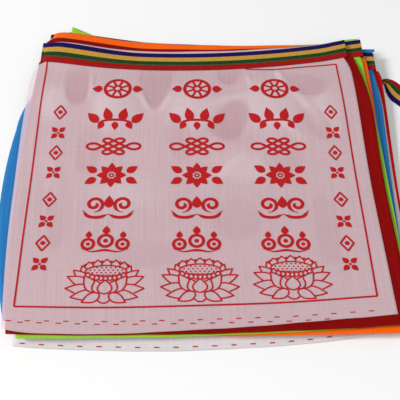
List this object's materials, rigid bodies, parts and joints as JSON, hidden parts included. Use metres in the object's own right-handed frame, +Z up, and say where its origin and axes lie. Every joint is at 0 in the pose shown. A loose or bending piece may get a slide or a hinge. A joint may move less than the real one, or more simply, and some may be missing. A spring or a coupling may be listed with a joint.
{
  "type": "folded prayer flag string",
  "caption": "Square satin flags in five colours, sewn along their top edges to one striped tape and folded back and forth to a flat stack, with a twisted tape end as a tie.",
  "frame": {"origin": "a point on the flat underside of the bottom flag, on the surface that the stack lies on, in line with the middle of the flags and 90 mm in front of their middle", "axes": "+X along the tape to the side where the tie leaves, +Y from the flags' front hems towards the tape, +Z up through the layers"},
  "size_m": [0.4597, 0.3971, 0.027],
  "materials": {
    "striped_tape": "woven ribbed tape in four stripes: navy, gold, green and red",
    "white_satin": "thin, slightly sheer white satin with a red print",
    "red_satin": "thin dark red satin",
    "green_satin": "thin lime green satin",
    "orange_satin": "thin bright orange satin",
    "blue_satin": "thin mid blue satin"
  },
  "bodies": {
    "root": {"heading_tape": "striped_tape", "flag_1_white": "white_satin", "flag_2_red": "red_satin", "flag_3_green": "green_satin", "flag_4_orange": "orange_satin", "flag_5_blue": "blue_satin", "flag_6_white": "white_satin", "flag_7_red": "red_satin", "flag_8_green": "green_satin", "flag_9_orange": "orange_satin", "flag_10_blue": "blue_satin"}
  },
  "joints": []
}
